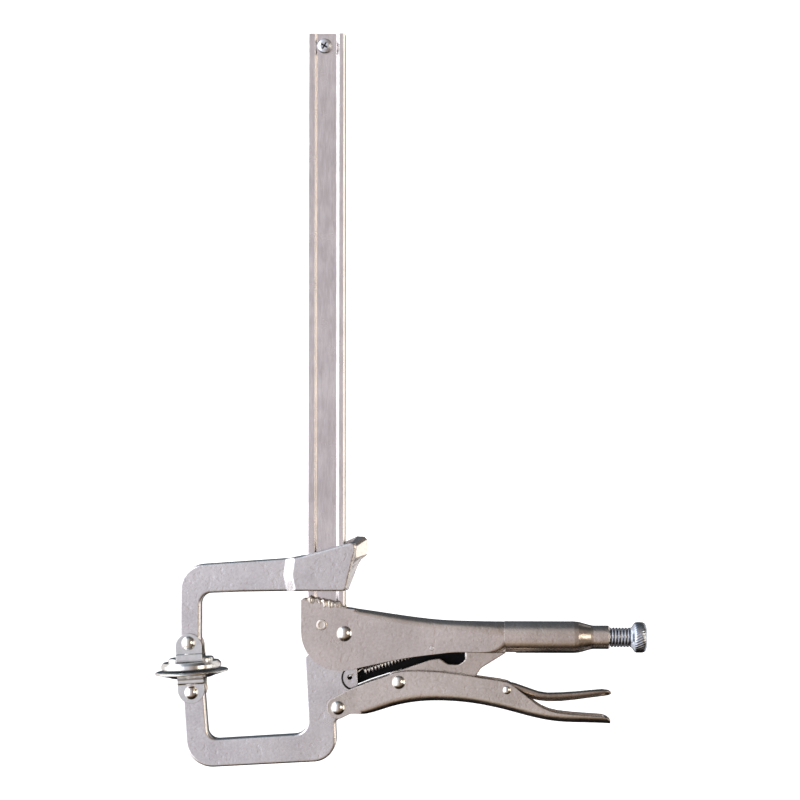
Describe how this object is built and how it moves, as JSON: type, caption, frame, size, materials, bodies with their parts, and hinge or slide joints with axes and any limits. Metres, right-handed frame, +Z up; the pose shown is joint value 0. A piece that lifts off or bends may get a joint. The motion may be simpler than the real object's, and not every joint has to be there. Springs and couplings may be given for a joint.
{
  "type": "locking c clamp",
  "caption": "Locking C clamp with swivel pads, a long grooved rail, a sliding upper jaw arm and squeeze handles closed by a toggle and a knurled adjusting screw.",
  "frame": {"origin": "the point midway between the two swivel pads' faces, on the axis through both pads, with the clamp shut and locked", "axes": "+Z up along the rail, +X from the pads towards the handles and the knob, +Y from the front cheeks to the back cheeks"},
  "size_m": [0.2991, 0.0446, 0.4477],
  "materials": {
    "rail_steel": "satin nickel plate",
    "forged_steel": "satin nickel plate over a forged skin",
    "pressed_steel": "satin nickel plate over pressed sheet",
    "pad_steel": "satin nickel plate",
    "rivet_steel": "bright domed heads",
    "zinc_steel": "bright zinc plate",
    "weld_metal": "plated weld bead",
    "spring_steel": "bright spring wire",
    "black_steel": "black oxide"
  },
  "bodies": {
    "fixed_handle": {"upper_handle": "pressed_steel", "rail_bar": "rail_steel", "bar_weld_front": "weld_metal", "bar_weld_back": "weld_metal", "main_rivet": "rivet_steel", "plug_weld": "weld_metal", "stop_screw": "zinc_steel", "spring_pin": "rivet_steel", "spring_guard": "black_steel"},
    "arm": {"sliding_arm": "forged_steel", "upper_pad_rivet": "rivet_steel"},
    "upper_pad": {"upper_pad_disc": "pad_steel", "upper_pad_bracket": "pad_steel"},
    "jaw": {"lower_jaw": "forged_steel", "lower_pad_rivet": "rivet_steel", "spring": "spring_steel"},
    "lower_pad": {"lower_pad_disc": "pad_steel", "lower_pad_bracket": "pad_steel"},
    "squeeze_handle": {"lower_handle": "pressed_steel", "jaw_rivet": "rivet_steel", "link_rivet": "rivet_steel", "lever_rivet": "rivet_steel"},
    "link": {"toggle_link": "pressed_steel"},
    "release": {"release_lever": "pressed_steel"},
    "screw": {"adjusting_screw": "zinc_steel"},
    "knob": {"adjusting_knob": "zinc_steel"}
  },
  "joints": [
    {"name": "arm_slide", "type": "slide", "parent": "fixed_handle", "child": "arm", "axis": [0, 0, 1], "range_m": [0, 0.3]},
    {"name": "upper_pad_swivel", "type": "hinge", "parent": "arm", "child": "upper_pad", "pos_m": [-0.00104, 0, 0.01647], "axis": [0, 1, 0], "range_deg": [-10, 10]},
    {"name": "jaw_pivot", "type": "hinge", "parent": "fixed_handle", "child": "jaw", "pos_m": [0.09394, 0, 0.02257], "axis": [0, -1, 0], "range_deg": [0, 13], "deforming": ["spring"]},
    {"name": "lower_pad_swivel", "type": "hinge", "parent": "jaw", "child": "lower_pad", "pos_m": [0.00084, 0, -0.01337], "axis": [0, 1, 0], "range_deg": [-10, 10]},
    {"name": "squeeze_pivot", "type": "hinge", "parent": "jaw", "child": "squeeze_handle", "pos_m": [0.08998, 0, -0.02227], "axis": [0, 1, 0], "range_deg": [0, 45.5]},
    {"name": "link_pivot", "type": "hinge", "parent": "squeeze_handle", "child": "link", "pos_m": [0.12688, 0, -0.00671], "axis": [0, -1, 0], "range_deg": [0, 55.9]},
    {"name": "release_pivot", "type": "hinge", "parent": "squeeze_handle", "child": "release", "pos_m": [0.1922, 0, -0.011], "axis": [0, 1, 0], "range_deg": [0, 7]},
    {"name": "screw_travel", "type": "slide", "parent": "fixed_handle", "child": "screw", "axis": [1, 0, 0], "range_m": [0, 0.012]},
    {"name": "knob_turn", "type": "hinge", "parent": "screw", "child": "knob", "pos_m": [0.27, 0, 0.0203], "axis": [1, 0, 0], "range_deg": [0, 2273.68]}
  ],
  "couplings": [
    {"joint": "lower_pad_swivel", "follows": "upper_pad_swivel", "ratio": 1},
    {"joint": "squeeze_pivot", "follows": "jaw_pivot", "ratio": 3.5},
    {"joint": "link_pivot", "follows": "jaw_pivot", "ratio": 4.3},
    {"joint": "knob_turn", "follows": "screw_travel", "rad_per_m": 3306.9}
  ]
}
